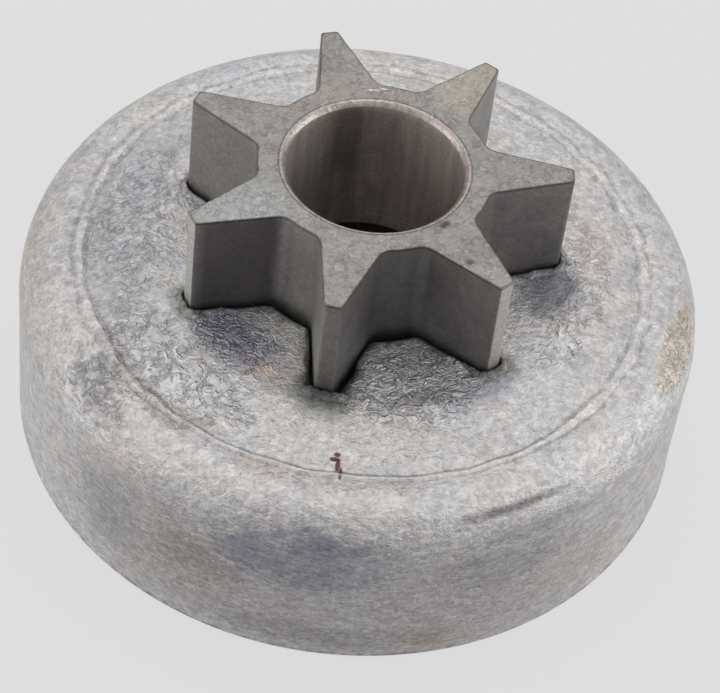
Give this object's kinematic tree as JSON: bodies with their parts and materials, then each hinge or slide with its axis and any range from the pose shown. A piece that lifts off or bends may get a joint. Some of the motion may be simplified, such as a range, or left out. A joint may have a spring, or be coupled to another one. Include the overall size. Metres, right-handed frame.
{
  "type": "chainsaw clutch drum with spur sprocket",
  "caption": "Drawn steel clutch drum, open at the rim, with a bored star-shaped spur sprocket set through its web.",
  "frame": {"origin": "centre of the open rim's plane, on the axis of the bore", "axes": "+Z along the axis of the bore, from the rim towards the sprocket; +X through the middle of one tooth"},
  "size_m": [0.067, 0.067, 0.0327],
  "materials": {
    "drum_steel": "drawn mild steel with a dull grey heat-treatment scale, wrinkled and pitted, with faint violet and tan heat stains",
    "sprocket_steel": "hardened steel, ground and scratched on the top face, dark and smooth on the teeth, turned in the bore"
  },
  "bodies": {
    "root": {"clutch_drum": "drum_steel", "spur_sprocket": "sprocket_steel"}
  },
  "joints": []
}
